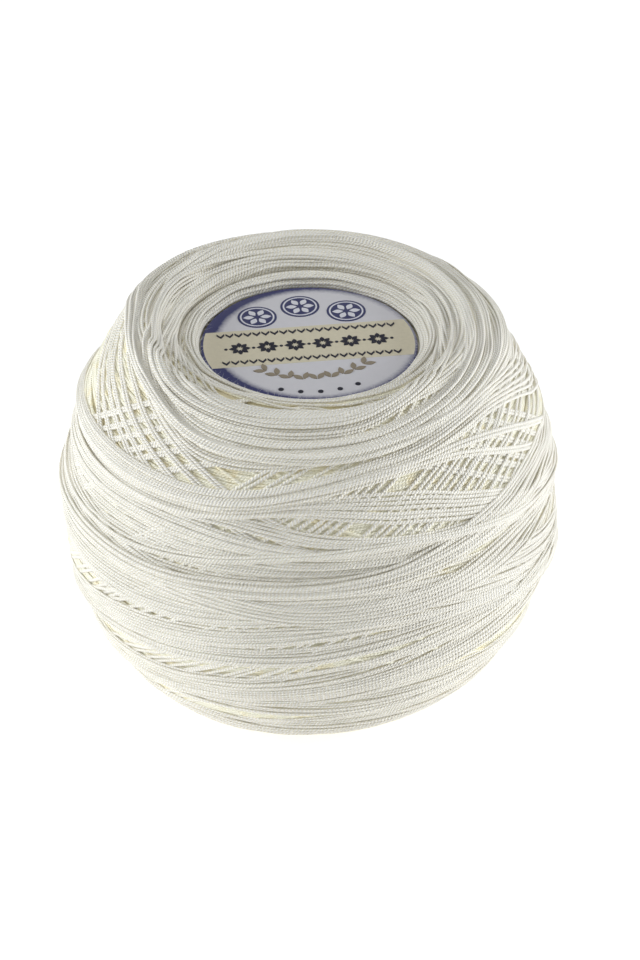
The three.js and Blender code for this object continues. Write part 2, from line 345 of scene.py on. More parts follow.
BANDS = (
    Band(
        "foundation", Layer.FOUNDATION, 156, Tilt(1.0), Tilt(78.5),
        loose=0.12, shade=1.0, steps=90, sides=4,
    ),
    Band(
        "deep falling", Layer.LATTICE, 14, Tilt(20.0, 15.0, -90), Tilt(50.0, 15.0, -90),
        loose=0.35, shade=0.8, steps=144, sides=4,
    ),
    Band(
        "left rungs", Layer.LATTICE, 12, Tilt(33.0, 30.0, 0), Tilt(48.0, 30.0, 0),
        loose=0.3, group=2, plump=1.1, steps=180,
    ),
    Band(
        "middle rungs", Layer.LATTICE, 9, Tilt(36.0, 30.0, 45), Tilt(49.0, 30.0, 45),
        loose=0.3, group=1, plump=1.1, steps=180,
    ),
    Band(
        "lens risers", Layer.LATTICE, 6, Tilt(29.5, 28.0, 82), Tilt(38.0, 28.0, 82),
        loose=0.3, group=1, plump=1.2, steps=180,
    ),
    Band(
        "right risers", Layer.LATTICE, 15, Tilt(38.5, 28.0, 85), Tilt(57.0, 28.0, 85),
        loose=0.45, group=1, plump=1.1, steps=180,
    ),
    Band(
        "left swathe", Layer.LATTICE, 14,
        Marks((6, 6, 9, 13, 21, 30, 36, 38, 36, 30, 20, 12), {-75: 10.5, -45: 17}),
        Marks((15, 16, 21, 28.5, 36.5, 44, 49, 51, 48, 41, 31, 22), {-75: 24.5, -45: 32.5}),
        loose=0.15, group=2,
    ),
    Band("funnel rings", Layer.COLLARS, 26, Tilt(0.9), Tilt(12.0, 0.6, 150), loose=0.1, steps=180),
    Band(
        "shoulder swathe", Layer.COLLARS, 12,
        Marks((8.2, 7.6, 7.5, 10.3, 14.2, 15, 13.6, 11.2, 8.9, 8.6, 8.6, 8.6),
              {-75: 8.8, -45: 12.6, -15: 14.9, 15: 14.7, 45: 12.4, 75: 9.8}),
        Marks((10.8, 9.8, 9.6, 13.3, 20.8, 19.3, 17.2, 14.8, 13.2, 12.5, 12, 11.5),
              {-75: 11, -45: 17.5, -20: 21, -10: 20.3, 10: 18.6, 20: 18, 45: 15.7, 75: 14}),
        loose=0.15,
    ),
    Band(
        "funnel swathe", Layer.COLLARS, 11,
        Marks((2.5, 2.2, 2.6, 4.5, 8.2, 9.4, 8, 5.5, 3.8, 3, 2.8, 2.6), {-45: 6.5, -15: 9.2, 15: 9}),
        Marks((6, 6, 7.5, 11.2, 13.6, 13.4, 11.6, 9.2, 7.5, 6.8, 6.4, 6.2), {-45: 12.8, -15: 13.8, 15: 12.6}),
        loose=0.15,
    ),
    Band(
        "back shoulder", Layer.COLLARS, 14,
        Marks((13, 12, 11, 13, 17, 17.5, 16.4, 15.2, 13.6, 13.2, 13.4, 13.6)),
        Marks((20, 17, 13, 14.5, 18.5, 19, 18, 17, 18.5, 20, 21, 21.5)),
        loose=0.2,
    ),
    Band(
        "rim collar", Layer.COLLARS, 5,
        Marks((6, 6.8, 7.7, 10.6, 12.7, 12.6, 10.6, 7.6, 5.4, 5, 5, 5.4),
              {-75: 8.5, -45: 12.2, -15: 12.8, 15: 12.1, 45: 9, 75: 6.2}),
        Marks((8.2, 9, 9.6, 12.4, 15, 15, 12.7, 9.9, 7.6, 7.2, 7.2, 7.6),
              {-75: 10.4, -45: 14.3, -15: 15.2, 15: 14.4, 45: 11.3, 75: 8.5}),
        loose=0.1, proud=0.12,
    ),
    Band(
        "seat collar", Layer.COLLARS, 7,
        Marks((0.9, None, 1.0, None, 0.8, None, 1.0, None, None, None, None, 0.8), {70: 1.2, 110: 1.0}),
        Marks((3.7, None, 3.9, None, 3.6, None, 3.8, None, None, None, None, 3.6), {70: 4.4, 110: 4.1}),
        loose=0.06, proud=0.25,
    ),
    Band(
        "belt", Layer.BELTS, 8,
        Marks((36, 33.5, 31.5, 30.6, 30, 32.2, 33.1, 34.8, 37.5, 39.5, 40.5, 39),
              {-40: 30, -20: 30.7, -10: 31.5, 15: 32.8, 45: 33.6}),
        Marks((40, 37.5, 36, 35, 34.5, 34.8, 35.6, 38, 41, 43.5, 44.5, 43), {15: 35.2, 45: 36.4}),
    ),
    Band(
        "slim band", Layer.BELTS, 4,
        Marks((34, 32, 30.5, 29.6, 28.4, 29.6, 32.4, 34.5, 37, 39, 39.5, 37),
              {-45: 28.9, -20: 28.1, -15: 28.2, -10: 28.5, 10: 30.6, 20: 31.6, 45: 33.2}),
        Marks((35.5, 33.5, 32, 31, 29.9, 31.7, 33.6, 36, 38.8, 40.6, 41, 38.6),
              {-45: 30.4, -20: 30, -10: 30.8, 10: 32.4, 20: 33, 45: 34.6}),
    ),
    Band(
        "lower crescent", Layer.CRESCENTS, 7,
        Marks((34, 31, 29, 28, 27.3, 24.1, 25.6, 33, 39, 42, 41.5, 38),
              {-45: 27.8, -15: 26.1, 10: 23.9, 20: 24.4, 40: 27.8, 50: 30.2, 75: 36.5}),
        Marks((37, 34, 31.5, 30.5, 29.5, 27.3, 31.1, 36.5, 43, 46, 45, 41),
              {-45: 30, -20: 28.4, -10: 27.3, 10: 28.4, 20: 29.9, 40: 32.7, 50: 34.3, 75: 40}),
        loose=0.15, plump=1.1,
    ),
    Band(
        "upper crescent", Layer.CRESCENTS, 7,
        Marks((29.5, 28.5, 27, 25.4, 24.6, 21, 18, 16.2, 19.5, 24.5, 28, 29.5),
              {-75: 26, -45: 25, -15: 23.3, 15: 19.2, 45: 16.8, 75: 17.4, 105: 22}),
        Marks((32, 30.5, 28.6, 27.4, 26.7, 23.5, 21, 20.2, 28, 34, 34.5, 33.5),
              {-75: 27.8, -45: 27.2, -15: 25.6, 15: 21.8, 45: 20, 75: 23, 105: 32}),
    ),
    Band(
        "crescent fringe", Layer.CRESCENTS, 4,
        Marks((31.8, 30.6, 28.6, 27.4, 26.6, 23.4, 20.8, 22, 31, 35.5, 35, 34),
              {-15: 25.5, 15: 21.6, 45: 20.6, 75: 26, 105: 34}),
        Marks((33, 31, 29, 28, 27.2, 24, 22.0, 28.2, 37, 39.5, 38, 36),
              {-15: 26, 15: 22.4, 40: 22.8, 50: 25.0, 75: 33, 105: 39}),
        loose=0.1, group=2, plump=1.15,
    ),
    Band(
        "crossing band", Layer.BELTS, 10,
        Marks((40.5, 38, 36.2, 35, 34.3, 34.6, 35.6, 37, 40, 43, 44, 43), {15: 35}),
        Marks((46, 44, 42, 40.8, 39.8, 38.6, 38, 39, 43, 46, 48, 48), {15: 38.4}),
        loose=0.2,
    ),
    Band(
        "great crescent", Layer.BELTS, 16,
        Marks((45.5, 43, 42, 40.8, 39.9, 38.6, 39.5, 42.8, 48, 51, 51, 48.5),
              {-45: 40.2, -15: 39.3, 10: 38.5, 20: 38.9, 45: 40.7, 75: 45.5}),
        Marks((53.5, 52, 51.5, 50, 48.3, 45, 46.6, 51.5, 56, 58, 57, 55),
              {-45: 49.5, -15: 46.4, 15: 44.8, 45: 49, 75: 54}),
    ),
    Band(
        "side band", Layer.BELTS, 10,
        Marks((40, 38, 36.5, 37.5, 40, 42, 41, 38.5, 38.5, 41, 43, 42.5)),
        Marks((45, 43.5, 42.5, 43, 44, 45, 44.5, 43.5, 44.5, 47, 48.5, 47.5)),
    ),
    Band(
        "rising band", Layer.BELTS, 8,
        Marks((42, 42.2, 41.5, 40.5, 39.6, 38.3, 35.3, 32.2, 32.4, 34, 37.5, 40.5),
              {-15: 38.8, 10: 37.8, 20: 36.6, 40: 34.2, 50: 33, 75: 31.8}),
        Marks((45.5, 45, 44, 43, 42, 40.2, 38.9, 36.3, 37, 39.5, 42, 44.5),
              {-15: 41, 10: 39.8, 20: 39.6, 45: 37.4, 75: 36}),
    ),
    Band(
        "bright pair", Layer.BELTS, 2,
        Marks((41.8, 42, 41.2, 40.2, 39.3, 37.7, 34.6, 31, 31, 33, 37, 40.2),
              {-15: 38.4, 10: 37, 20: 36.2, 40: 32.9, 50: 31.9, 75: 30.4}),
        Marks((42.6, 42.8, 42, 41, 40.1, 38.6, 35.5, 31.9, 32, 34, 38, 41),
              {-15: 39.2, 10: 37.9, 20: 37, 40: 33.8, 50: 32.8, 75: 31.3}),
        loose=0.05, group=2, plump=1.15,
    ),
    Band(
        "rising threads", Layer.BELTS, 3,
        Marks((40, 39, 38, 38, None, None, 33, 36, 39, 41, 42, 41.5), {-40: 37, -20: 34.6, -5: 33, 10: 32.4}),
        Marks((41.5, 40.5, 39.5, 39.4, None, None, 34, 37.3, 40.4, 42.4, 43.4, 43),
              {-40: 38.4, -20: 36, -5: 34.4, 10: 33.6}),
        loose=0.1,
    ),
    Band(
        "lower fold", Layer.SKIRT, 7,
        Marks((57, 57.5, 56, 51.8, None, None, 45.6, 48.5, 51, 54, 56, 57),
              {-35: 48.9, -20: 47.3, -5: 45.6, 5: 45, 15: 44.9, 45: 47}),
        Marks((61, 61, 60, 56, None, 48.4, 47.9, 51, 54, 57.5, 60, 61),
              {-35: 52.8, -15: 50.2, 15: 47.2, 45: 49.3}),
    ),
    Band(
        "spaced band", Layer.SKIRT, 7,
        Marks((58, 57.5, 56.5, 54.8, 52.3, 49.3, 46.7, 49.5, 53, 56, 58, 58.5),
              {-15: 50.8, 10: 48.3, 20: 47.5, 40: 47, 50: 48}),
        Marks((62, 61.5, 60.5, 58.5, 55.8, 52.9, 50, 51.5, 56, 59.5, 61.5, 62),
              {-15: 54.2, 15: 51.2, 45: 49.4}),
        loose=0.18,
    ),
    Band(
        "hip band", Layer.SKIRT, 9,
        Marks((62, 63.5, 63.5, 62, None, 54.5, 50.4, 48.6, 49, 51, 55, 59),
              {-35: 59.7, -20: 57.6, -5: 55.3, 15: 52.4, 45: 49.2}),
        Marks((66, 67.5, 67.5, 66, None, 59.2, 55.2, None, 53.6, 55.5, 59.3, 63),
              {-35: 63.5, -20: 61.5, 15: 57.2, 50: 53.6, 70: 53.2}),
    ),
    Band(
        "level band", Layer.SKIRT, 11,
        Marks((64.5, None, 64.5, 64, 62.6, 61, 60.3, 60.8, 62, 63, None, 64.5)),
        Marks((70.5, None, 70.3, 69.5, 67.8, 66.6, 66.2, 66.8, 68, 69, None, 70.4)),
    ),
    Band(
        "lower band", Layer.SKIRT, 9,
        Marks((65.2, 66.6, 66.8, 65.4, None, 58.6, 54.8, None, 53.2, 55, 58.6, 62.2),
              {-35: 62.8, -20: 60.9, 15: 56.7, 50: 53.2, 70: 52.8}),
        Marks((70.5, 71.5, 71.5, 70, 66.5, 63.8, None, 57.2, 57.5, 60, 63.5, 67.5), {20: 61, 40: 58.5}),
    ),
    Band(
        "foot band", Layer.FOOT, 15,
        Marks((70, None, 71.5, 72, None, None, None, 63.4, 64, 65.5, None, 68),
              {-35: 72, -20: 70.2, -5: 68.2, 5: 66.9, 20: 65.6, 40: 64}),
        Marks((78, None, 78.3, None, 77.4, 75, 73, 71.6, 72, 74, None, 76.5)),
    ),
    Band("foot rings", Layer.FOOT, 19, Tilt(70.5, 1.2, 60), Tilt(79.0, 0.4, 60), loose=0.2, steps=180),
)


@dataclass
class Strands:
    """Laid strands of one band: where each runs and how high, with its tone and its twist's start."""

    band: Band
    down: Array
    lift: Array
    tone: Array
    start: Array


@dataclass
class Winding:
    """Lays the bands on the ball over a map of heights, as a machine winds them one over another.

    A strand is an oval, thread high and thread_wide wide, pressed down by squash. Stiffness, ease and bridge
    are bell curves' widths in degrees. Settle is the share of the piled height that stays once the pile is
    levelled, over level_over millimetres, to the solid's surface and a little proud of it, by envelope.
    """

    form: BallForm
    thread: float = 0.4
    thread_wide: float = 0.53
    squash: float = 0.05
    settle: float = 0.45
    group_gap: float = 0.5
    stiffness: float = 2.2
    ease: float = 0.6
    bridge: float = 3.5
    columns: int = 720
    row_step: float = 0.1
    wander: float = 0.02
    drift: float = 0.1
    waves: tuple[int, ...] = (2, 3, 5, 8, 13)
    seat_margin: float = 0.3
    foot_margin: float = 0.6
    packing: float = 0.9
    fewest_turns: int = 2
    most_turns: int = 4
    passes: int = 4
    level_over: float = 3.4
    level_pad: float = 6.0
    envelope: float = 0.2
    seed: int = 11
    around: Array = field(init=False)
    rows: Array = field(init=False)
    heights: Array = field(init=False)
    laid: list[Strands] = field(init=False, default_factory=list)

    def __post_init__(self) -> None:
        """Starts an empty map: rows run down the section and columns around the ball."""
        self.around = np.linspace(-180.0, 180.0, self.columns, endpoint=False)
        self.rows = np.arange(self.form.down[0], self.form.down[-1], self.row_step)
        self.heights = np.zeros((len(self.rows), self.columns))

    def lay_all(self, bands: tuple[Band, ...]) -> None:
        """Lays every band in turn, then settles the strands onto the solid's surface."""
        rng = np.random.default_rng(self.seed)
        for band in bands:
            self.laid.append(self._lay(band, rng))
        level = self._level()
        for strands in self.laid:
            under = self._ease(self._read(level, strands.down), self.bridge)
            strands.lift = self.settle * strands.lift + under + strands.band.proud

    def _lay(self, band: Band, rng: np.random.Generator) -> Strands:
        """Lays one band, in as many turns as its narrowest place needs.

        Args:
            band: The band to lay.
            rng: Gives the strands' small shifts, wanders and tones.

        Returns:
            Its strands, with heights above the map's bottom.
        """
        count = band.strands
        groups = math.ceil(count / band.group)
        share = (np.arange(groups) + 0.5 + rng.uniform(-band.loose, band.loose, groups)) / groups
        member = np.arange(count) % band.group - (band.group - 1) / 2.0
        top = (band.top.at(self.around) - RIM_MARK) * MARK
        bottom = (band.bottom.at(self.around) - RIM_MARK) * MARK
        down = top + share[np.arange(count) // band.group, None] * (bottom - top)
        down += member[:, None] * self.group_gap * band.plump
        down += self.wander * self._waves(count, rng) + self.drift * self._waves(1, rng)
        down = np.clip(down, self.form.down[0] + self.seat_margin, self.form.down[-1] - self.foot_margin)
        lift = np.zeros_like(down)
        pitch = float(np.abs(bottom - top).min()) / count
        turns = math.ceil(self.thread_wide * self.packing / pitch)
        turns = min(max(turns, self.fewest_turns), self.most_turns)
        for first in range(turns):
            lift[first::turns] = self._rest(down[first::turns])
        return Strands(band, down, lift, rng.uniform(0.0, 1.0, count), rng.uniform(0.0, 1.0, count))

    def _rest(self, down: Array) -> Array:
        """Rests strands on the map, bridging hollows that they are too taut to follow, and stamps them."""
        contact = self._contact(down)
        lift = contact
        for _ in range(self.passes):
            lift = np.maximum(contact, self._ease(lift, self.stiffness))
        lift = self._ease(lift, self.ease) - self.squash
        self._stamp(down, lift)
        return lift

    def _waves(self, count: int, rng: np.random.Generator) -> Array:
        """Slow sideways drifts, one row each: sums of a few waves with chance sizes and phases."""
        waves = np.array(self.waves)
        phase = rng.uniform(0.0, FULL_TURN, (count, len(waves), 1))
        size = rng.normal(0.0, 1.0, (count, len(waves), 1)) / np.sqrt(waves)[:, None]
        angle = np.radians(self.around) * waves[:, None]
        return (size * np.sin(angle + phase)).sum(axis=1)

    def _footprint(self) -> list[tuple[int, float]]:
        """The rows that a strand covers and its oval half height over each of them."""
        reach = int(self.thread_wide / 2.0 / self.row_step)
        offsets = np.arange(-reach, reach + 1)
        caps = self.thread / 2.0 * np.sqrt(1.0 - (offsets * self.row_step * 2.0 / self.thread_wide) ** 2)
        return list(zip(offsets.tolist(), caps.tolist()))

    def _cells(self, down: Array) -> Array:
        """The map row nearest to each strand's middle."""
        return np.rint((down - self.rows[0]) / self.row_step).astype(int)

    def _contact(self, down: Array) -> Array:
        """The height of a round strand's middle where it first touches the map, at every direction."""
        cells = self._cells(down)
        column = np.arange(self.columns)[None, :]
        best = np.full(down.shape, -np.inf)
        for offset, cap in self._footprint():
            row = np.clip(cells + offset, 0, len(self.rows) - 1)
            best = np.maximum(best, self.heights[row, column] + cap)
        return best

    def _stamp(self, down: Array, lift: Array) -> None:
        """Raises the map to the strands' round tops."""
        cells = self._cells(down)
        column = np.broadcast_to(np.arange(self.columns)[None, :], down.shape)
        for offset, cap in self._footprint():
            row = np.clip(cells + offset, 0, len(self.rows) - 1)
            np.maximum.at(self.heights, (row, column), lift + cap)

    def _ease(self, values: Array, degrees: float) -> Array:
        """Smooths closed rows of values with a bell curve of that many degrees."""
        return bell_smoothed(values, degrees * self.columns / 360.0, axis=1)

    def _level(self) -> Array:
        """What moves the settled map's mean onto the solid's surface: relief plus envelope less the mean.

        Returns:
            A map of the lifts to add to every strand.
        """
        pad = int(self.level_pad * self.level_over / self.row_step)
        padded = np.pad(self.heights, ((pad, pad), (0, 0)), mode="edge")
        smooth = bell_smoothed(padded, self.level_over / self.row_step, axis=0)[pad:-pad]
        smooth = self._ease(smooth, math.degrees(self.level_over / self.form.ball_radius))
        relief = self.form.rolls(self.around[None, :], self.rows[:, None])
        near_foot = smoothstep(self.form.foot_down - self.rows, 0.0, self.form.foot_fade)
        return relief + self.envelope * near_foot[:, None] - self.settle * smooth

    def _read(self, grid: Array, down: Array) -> Array:
        """Reads a map at the strands' places, linearly between rows."""
        place = (down - self.rows[0]) / self.row_step
        low = place.astype(int)
        part = place - low
        column = np.arange(self.columns)[None, :]
        return grid[low, column] * (1.0 - part) + grid[low + 1, column] * part

    def core_lift(self, around: Array, down: Array) -> Array:
        """The height of the map's bottom, on which the first band lies, at chosen places."""
        column = np.rint((around + 180.0) / 360.0 * self.columns).astype(int) % self.columns
        return self._level()[self._cells(down), column]


def link(name: str, data: bpy.types.ID) -> bpy.types.Object:
    """Puts a mesh, a camera or a light into the scene as an object at the origin."""
    item = bpy.data.objects.new(name, data)
    bpy.context.scene.collection.objects.link(item)
    return item


def mesh_object(
    name: str,
    vertices: Array,
    blocks: list[Array],
    maps: dict[str, Array] | None = None,
    values: dict[str, Array] | None = None,
    smooth: bool = True,
) -> bpy.types.Object:
    """Makes an object from vertices in millimetres and blocks of faces.

    Args:
        name: The piece's name.
        vertices: Points, three numbers each.
        blocks: Arrays of vertex numbers, one row for each face; a block's faces are of one size.
        maps: UV maps by name, two numbers for each corner of each face.
        values: Attributes by name, one number for each vertex.
        smooth: Whether the faces are shaded smooth.

    Returns:
        The new object, linked to the scene, with its place in its mesh.
    """
    sizes = np.concatenate([np.full(len(block), block.shape[1]) for block in blocks])
    corners = np.concatenate([block.ravel() for block in blocks])
    mesh = bpy.data.meshes.new(name)
    mesh.vertices.add(len(vertices))
    mesh.vertices.foreach_set("co", (vertices * METRES).astype(np.float32).ravel())
    mesh.loops.add(len(corners))
    mesh.loops.foreach_set("vertex_index", corners.astype(np.int32))
    mesh.polygons.add(len(sizes))
    mesh.polygons.foreach_set("loop_start", (np.cumsum(sizes) - sizes).astype(np.int32))
    mesh.polygons.foreach_set("use_smooth", np.full(len(sizes), smooth))
    for key, places in (maps or {}).items():
        mesh.uv_layers.new(name=key).data.foreach_set("uv", places.astype(np.float32).ravel())
    for key, numbers in (values or {}).items():
        layer = mesh.attributes.new(key, "FLOAT", "POINT")
        layer.data.foreach_set("value", numbers.astype(np.float32).ravel())
    mesh.update(calc_edges=True)
    mesh.validate()
    return link(name, mesh)


def unit(vectors: Array) -> Array:
    """The vectors at length one."""
    return vectors / np.linalg.norm(vectors, axis=-1, keepdims=True)


def tube_faces(index: Array) -> Array:
    """Faces between the neighbouring rings of tubes, from a grid of vertex numbers with rings in rows."""
    near, far = index[..., :-1, :], index[..., 1:, :]
    corners = [near, np.roll(near, -1, axis=-1), np.roll(far, -1, axis=-1), far]
    return np.stack(corners, axis=-1).reshape(-1, 4)


def corner_map(start: Array, end: Array, near: Array, far: Array) -> Array:
    """Map places for the corners of a tube's faces, in the order of tube_faces.

    Args:
        start: The first number where a face starts along the tube.
        end: The first number where it ends.
        near: The second number at its first edge around the tube.
        far: The second number at its other edge.

    Returns:
        Two numbers for each of the four corners, face by face.
    """
    corners = np.broadcast_arrays(start, near, start, far, end, far, end, near)
    return np.stack(corners, axis=-1).reshape(-1, 4, 2)


def fan(point: int, one: Array, other: Array) -> Array:
    """Three-cornered faces from one point to each pair of neighbours on a ring."""
    return np.stack([np.full(len(one), point), one, other], axis=-1)


def round_profile(up: Array, side: Array, corners: int) -> Array:
    """The directions from a line's points to the corners of a round profile about them."""
    turn = np.arange(corners) * FULL_TURN / corners
    return up[..., None, :] * np.cos(turn)[:, None] + side[..., None, :] * np.sin(turn)[:, None]


def strand_profile(sides: int) -> Array:
    """The strand's corners, as angles from the outward direction; five sides have a flat hidden back."""
    return np.radians(FLAT_BACKED if sides == len(FLAT_BACKED) else np.arange(sides) * 360.0 / sides)


@dataclass
class StrandMesher:
    """Turns laid strands into tubes: a small oval profile carried along each strand's closed path."""

    form: BallForm
    winding: Winding
    twist_length: float = 0.52

    def build(self, layer: Layer) -> bpy.types.Object:
        """Builds one piece from all the bands of a layer."""
        parts = [self._tubes(strands) for strands in self.winding.laid if strands.band.layer is layer]
        starts = np.cumsum([0] + [len(part["vertices"]) for part in parts])
        lanes = np.cumsum([0] + [part["lanes"] for part in parts])
        for part, start, lane in zip(parts, starts, lanes):
            part["faces"] += start
            part["bake"][..., 1] = (part["bake"][..., 1] + lane) / lanes[-1]
        whole = {key: np.concatenate([part[key] for part in parts]) for key in parts[0] if key != "lanes"}
        return mesh_object(
            layer.value, whole["vertices"], [whole["faces"]],
            {TWIST_MAP: whole["twist"], BAKE_MAP: whole["bake"]}, {TONE: whole[TONE], DEPTH: whole[DEPTH]},
        )

    def _tubes(self, strands: Strands) -> dict[str, Array]:
        """The tubes of one band: middle plus normal times half height cos a plus side times half width sin a.

        Args:
            strands: The band's laid strands.

        Returns:
            Vertices, faces, maps and values by name, and the number of lanes that the bake map needs.
        """
        band = strands.band
        stride = self.winding.columns // band.steps
        around = self.winding.around[::stride][None, :]
        down, lift = strands.down[:, ::stride], strands.lift[:, ::stride]
        middle = self.form.place(around, down, lift)
        along = unit(np.roll(middle, -1, axis=1) - np.roll(middle, 1, axis=1))
        side = unit(np.cross(along, self.form.normal(around, down)))
        normal = np.cross(side, along)
        turn = strand_profile(band.sides)
        high = self.winding.thread / 2.0 * np.cos(turn)[:, None]
        wide = band.plump * self.winding.thread_wide / 2.0 * np.sin(turn)[:, None]
        ring = middle[:, :, None, :] + normal[:, :, None, :] * high + side[:, :, None, :] * wide
        ring[..., 2] = np.maximum(ring[..., 2], 0.0)
        count, steps, sides = ring.shape[:3]
        index = np.arange(count * steps * sides).reshape(count, steps, sides)
        length = np.linalg.norm(np.roll(middle, -1, axis=1) - middle, axis=-1)
        far = np.concatenate([np.zeros((count, 1)), np.cumsum(length, axis=1)], axis=1)
        turns = np.rint(far[:, -1:] / self.twist_length) * far / far[:, -1:] + strands.start[:, None]
        edge = np.append(turn, turn[0] + FULL_TURN) / FULL_TURN
        share = np.arange(steps)[None, :, None] / steps
        lane = np.arange(count * sides).reshape(count, 1, sides)
        top = self.form.rolls(around, down) + self.winding.envelope - self.winding.thread / 2.0
        return {
            "vertices": ring.reshape(-1, 3),
            "faces": tube_faces(np.concatenate([index, index[:, :1]], axis=1)),
            "twist": corner_map(turns[:, :-1, None], turns[:, 1:, None], edge[:-1], edge[1:]),
            "bake": corner_map(share, share + 1.0 / steps, lane, lane + 1),
            "lanes": count * sides,
            TONE: np.repeat(strands.tone, steps * sides),
            # Depth below the surface, at least the band's shade, drives the painted shade and glow of deep
            # strands.
            DEPTH: np.repeat(np.maximum(top - lift, band.shade).ravel(), sides),
        }


class Wiring:
    """Adds and joins the shader nodes of one material. A value is a socket to join or a plain value."""

    def __init__(self, name: str) -> None:
        """Starts a material with an empty node tree."""
        self.material = bpy.data.materials.new(name)
        self.material.use_nodes = True
        self.tree = self.material.node_tree
        self.tree.nodes.clear()

    def feed(self, socket: Socket, value: object) -> None:
        """Joins a socket to another, or sets its own value."""
        if isinstance(value, Socket):
            self.tree.links.new(value, socket)
        else:
            socket.default_value = value

    def node(self, kind: str, settings: dict[str, object] | None = None, **inputs: object) -> bpy.types.Node:
        """Adds a node with its settings and inputs; an underscore in an input's name stands for a space."""
        made = self.tree.nodes.new(kind)
        for key, value in (settings or {}).items():
            setattr(made, key, value)
        for key, value in inputs.items():
            self.feed(made.inputs[key.replace("_", " ")], value)
        return made

    def maths(self, operation: str, *values: object) -> Socket:
        """The result of a Math node."""
        made = self.node("ShaderNodeMath", {"operation": operation})
        for socket, value in zip(made.inputs, values):
            self.feed(socket, value)
        return made.outputs[0]

    def ramp(self, value: object, low: float, high: float, start: float = 0.0, end: float = 1.0) -> Socket:
        """A clamped straight ramp from one range to another."""
        ranges = {"From_Min": low, "From_Max": high, "To_Min": start, "To_Max": end}
        return self.node("ShaderNodeMapRange", {"clamp": True}, Value=value, **ranges).outputs["Result"]

    def mix(self, share: object, first: object, second: object, blend: str = "MIX") -> Socket:
        """A mix of two colours."""
        made = self.node("ShaderNodeMix", {"data_type": "RGBA", "blend_type": blend})
        for place, value in zip(MIX_INPUTS, (share, first, second)):
            self.feed(made.inputs[place], value)
        return made.outputs[MIX_OUTPUT]

    def tinted(self, colour: object, shade: object) -> Socket:
        """A colour times a shade of grey."""
        grey = self.node("ShaderNodeCombineColor", Red=shade, Green=shade, Blue=shade).outputs[0]
        return self.mix(1.0, colour, grey, "MULTIPLY")

    def place(self) -> Socket:
        """The place on the piece, in metres."""
        return self.node("ShaderNodeTexCoord").outputs["Object"]

    def split(self, vector: object) -> list[Socket]:
        """The three numbers of a vector."""
        return list(self.node("ShaderNodeSeparateXYZ", Vector=vector).outputs)

    def attribute(self, name: str) -> Socket:
        """A number that the mesh holds for each vertex."""
        return self.node("ShaderNodeAttribute", {"attribute_name": name}).outputs["Fac"]

    def noise(self, vector: object, scale: float, detail: float = 2.0) -> Socket:
        """A noise texture's value."""
        return self.node("ShaderNodeTexNoise", Vector=vector, Scale=scale, Detail=detail).outputs[0]

    def mottled(self, colour: object, scale: float, darkest: float, detail: float = 2.0) -> Socket:
        """A colour times a noise that runs from the darkest share to one."""
        shade = self.ramp(self.noise(self.place(), scale, detail), *NOISE_RANGE, darkest, 1.0)
        return self.tinted(colour, shade)

    def bump(self, height: object, strength: float, distance: float) -> Socket:
        """The direction of a surface that a height raises."""
        return self.node("ShaderNodeBump", Height=height, Strength=strength, Distance=distance).outputs[0]

    def card_grain(self) -> Socket:
        """The direction of card's finely grained surface."""
        return self.bump(self.noise(self.place(), scale=1500.0, detail=4.0), strength=0.25, distance=0.00003)

    def finish(self, colour: object, roughness: float, **inputs: object) -> bpy.types.Material:
        """Ends the tree with a surface of a colour and a roughness, and of the other inputs given."""
        surface = self.node("ShaderNodeBsdfPrincipled", Base_Color=colour, Roughness=roughness, **inputs)
        self.node("ShaderNodeOutputMaterial", Surface=surface.outputs[0])
        return self.material


